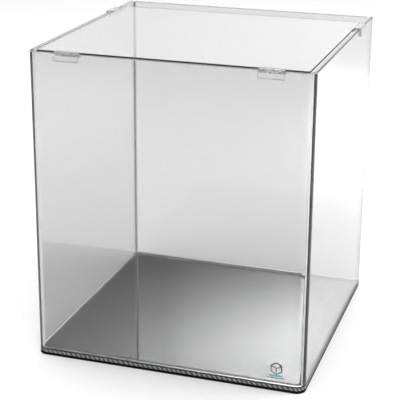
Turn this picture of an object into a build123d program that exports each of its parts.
from build123d import *
import os

# Rimless glass display cube: one bent pane makes the front and both sides, a flat
# pane closes the back, and a loose cover pane lies just inside the rim on four clips.
# Millimetres. X to the right, Y to the back, Z up. The origin is the centre of the
# underside, so the front outer face lies at -Y and the mat stands on Z = 0.

# Overall size, over the glass
tank_width = 380.0
tank_depth = 380.0
rim_height = 430.0

# Panes
pane_thickness = 6.0
bend_radius = 13.0              # outer radius of the two bent front corners
arris = 0.6                     # ground bevel along every free glass edge
mat_thickness = 3.0

# Clear silicone
seam_gap = 0.8                  # film left between two glued panes
bead_leg = 4.0                  # reach of the coved bead along each pane
bead_hollow = 0.36              # share of the leg at which the cove is deepest

# Cover pane
cover_thickness = 3.0
cover_rise = 0.9                # top face above the rim
cover_inset = 9.0               # outer face of a wall to the cover's edge
cover_depth = 320.0
cover_corner = 4.0

# Rim clips
clip_length = 34.0
clip_wall = 2.2
clip_slack = 0.1                # running clearance to the glass, each side
clip_outer_drop = 10.0          # outer leg, below the rim
clip_inner_wall = 2.2
clip_ledge_reach = 16.0         # outer face of the wall to the tip of the ledge
clip_ledge_thickness = 1.9
clip_cap_thickness = 1.7
clip_round = 0.5
clip_front_offset = 135.0       # front clips, either side of the middle
clip_side_position = 107.0      # side clips, behind the middle

# Plain film label on the front pane
label_width = 35.0
label_height = 26.0
label_thickness = 0.2
label_corner = 2.0
label_centre_x = 152.5
label_centre_z = 29.4

# Levels and faces that several pieces share
floor_bottom = mat_thickness
floor_top = floor_bottom + pane_thickness
wall_bottom = floor_top + seam_gap
half_width = tank_width / 2
half_depth = tank_depth / 2
inner_x = half_width - pane_thickness
inner_y = half_depth - pane_thickness
inner_bend = bend_radius - pane_thickness
cover_top = rim_height + cover_rise
cover_bottom = cover_top - cover_thickness
ledge_top = cover_bottom - clip_slack


def tank_plan():
    """Plan of the whole tank: a rectangle with its two front corners rounded."""
    plan = Rectangle(tank_width, tank_depth)
    front_corners = plan.vertices().sort_by(Axis.Y)[:2]
    return fillet(front_corners, bend_radius)


def wrap_plan():
    """U-shaped plan of the bent pane: front, two bends and two sides, open at the back."""
    hollow_depth = tank_depth - pane_thickness
    hollow = Pos(0, pane_thickness / 2) * Rectangle(2 * inner_x, hollow_depth)
    front_corners = hollow.vertices().sort_by(Axis.Y)[:2]
    return tank_plan() - fillet(front_corners, inner_bend)


def slab(plan, bottom, top):
    """A plan raised from one level to another."""
    return Pos(0, 0, bottom) * extrude(plan, amount=top - bottom)


def bevelled(edges):
    """The pane that the edges belong to, with those edges ground off."""
    return chamfer(edges, arris)


def bead_profile(plane):
    """Coved bead in section: a right angle in the corner, its third side hollow."""
    deep = bead_leg * bead_hollow
    outline = [
        Line((0, 0), (bead_leg, 0)),
        ThreePointArc((bead_leg, 0), (deep, deep), (0, bead_leg)),
        Line((0, bead_leg), (0, 0)),
    ]
    return plane * make_face(outline)


def foam_mat():
    return slab(tank_plan(), 0, mat_thickness)


def bottom_pane():
    pane = slab(tank_plan(), floor_bottom, floor_top)
    return bevelled(pane.edges().filter_by(Plane.XY))


def wrap_pane():
    pane = slab(wrap_plan(), wall_bottom, rim_height)
    rim_edges = pane.edges().group_by(Axis.Z)[-1]
    return bevelled(rim_edges)


def back_pane():
    width = 2 * (inner_x - seam_gap)
    plan = Pos(0, inner_y + pane_thickness / 2) * Rectangle(width, pane_thickness)
    pane = slab(plan, wall_bottom, rim_height)
    rim_edges = pane.edges().group_by(Axis.Z)[-1]
    return bevelled(rim_edges)


def cover_pane():
    width = tank_width - 2 * cover_inset
    front = -half_depth + cover_inset
    plan = Pos(0, front + cover_depth / 2) * RectangleRounded(width, cover_depth, cover_corner)
    pane = slab(plan, cover_bottom, cover_top)
    return bevelled(pane.edges().filter_by(Plane.XY))


def wrap_base_seam():
    """Film under the bent pane, and the bead that follows its foot round the inside."""
    film = slab(wrap_plan(), floor_top, wall_bottom)
    foot = FilletPolyline(
        (-inner_x, inner_y),
        (-inner_x, -inner_y),
        (inner_x, -inner_y),
        (inner_x, inner_y),
        radius=inner_bend,
    )
    start = Plane(origin=(-inner_x, inner_y, floor_top), x_dir=(1, 0, 0), z_dir=(0, -1, 0))
    bead = sweep(bead_profile(start), path=Pos(0, 0, floor_top) * foot)
    return film + bead


def back_base_seam(wrap_seam):
    """Film under the back pane with its bead, ending against the bent pane's seam."""
    plan = Pos(0, inner_y + pane_thickness / 2) * Rectangle(2 * inner_x, pane_thickness)
    film = slab(plan, floor_top, wall_bottom)
    start = Plane(origin=(-inner_x, inner_y, floor_top), x_dir=(0, -1, 0), z_dir=(-1, 0, 0))
    bead = extrude(bead_profile(start), amount=-2 * inner_x)
    return film + bead - wrap_seam


def back_corner_seam(side, base_seams):
    """Upright film and bead between the back pane and one side; side is -1 or 1."""
    film_plan = Pos(side * (inner_x - seam_gap / 2), inner_y + pane_thickness / 2)
    film = slab(film_plan * Rectangle(seam_gap, pane_thickness), wall_bottom, rim_height)
    corner = Plane(
        origin=(side * inner_x, inner_y, wall_bottom),
        x_dir=(-side, 0, 0),
        z_dir=(0, 0, side),
    )
    bead = extrude(bead_profile(corner), amount=side * (rim_height - wall_bottom))
    return film + bead - base_seams


def clip_section():
    """A clip in section: across the wall (inwards is positive) against height over the rim."""
    wall_side = clip_slack
    inner_side = pane_thickness + clip_slack
    cap_top = clip_slack + clip_cap_thickness
    step = inner_side + clip_inner_wall
    ledge = ledge_top - rim_height
    underside = ledge - clip_ledge_thickness
    outline = Polyline(
        (-wall_side - clip_wall, -clip_outer_drop),
        (-wall_side, -clip_outer_drop),
        (-wall_side, clip_slack),
        (inner_side, clip_slack),
        (inner_side, underside),
        (clip_ledge_reach, underside),
        (clip_ledge_reach, ledge),
        (step, ledge),
        (step, cap_top),
        (-wall_side - clip_wall, cap_top),
        close=True,
    )
    return make_face(outline)


def rounded_clip():
    """A clip lying along +X, its wall's outer face at Y = 0 and the rim at Z = 0."""
    across = Plane(origin=(-clip_length / 2, 0, 0), x_dir=(0, 1, 0), z_dir=(1, 0, 0))
    clip = extrude(across * clip_section(), amount=clip_length)
    outside = clip.edges().filter_by(
        lambda edge: not (
            -clip_wall < edge.center().Y < pane_thickness + clip_wall
            and edge.center().Z < clip_slack + clip_round
        )
    )
    return fillet(outside, clip_round)


def rim_clip(turn, wall_distance, along):
    """A clip on the front wall, along it and so far out, then turned to its own wall."""
    on_wall = Pos(along, -wall_distance, rim_height) * rounded_clip()
    return Rot(0, 0, turn) * on_wall


def front_label():
    shape = RectangleRounded(label_width, label_height, label_corner)
    centre = (label_centre_x, -half_depth, label_centre_z)
    face = Plane(origin=centre, x_dir=(1, 0, 0), z_dir=(0, -1, 0))
    return extrude(face * shape, amount=label_thickness)


def all_parts():
    wrap_seam = wrap_base_seam()
    back_seam = back_base_seam(wrap_seam)
    base_seams = wrap_seam + back_seam
    return {
        "foam_mat": foam_mat(),
        "bottom_pane": bottom_pane(),
        "front_wrap_pane": wrap_pane(),
        "back_pane": back_pane(),
        "cover_pane": cover_pane(),
        "wrap_base_seam": wrap_seam,
        "back_base_seam": back_seam,
        "back_left_seam": back_corner_seam(-1, base_seams),
        "back_right_seam": back_corner_seam(1, base_seams),
        "front_left_clip": rim_clip(0, half_depth, -clip_front_offset),
        "front_right_clip": rim_clip(0, half_depth, clip_front_offset),
        "left_side_clip": rim_clip(-90, half_width, -clip_side_position),
        "right_side_clip": rim_clip(90, half_width, clip_side_position),
        "front_label": front_label(),
    }


os.makedirs("parts", exist_ok=True)
for name, solid in all_parts().items():
    solid.label = name
    export_step(solid, f"parts/{name}.step")
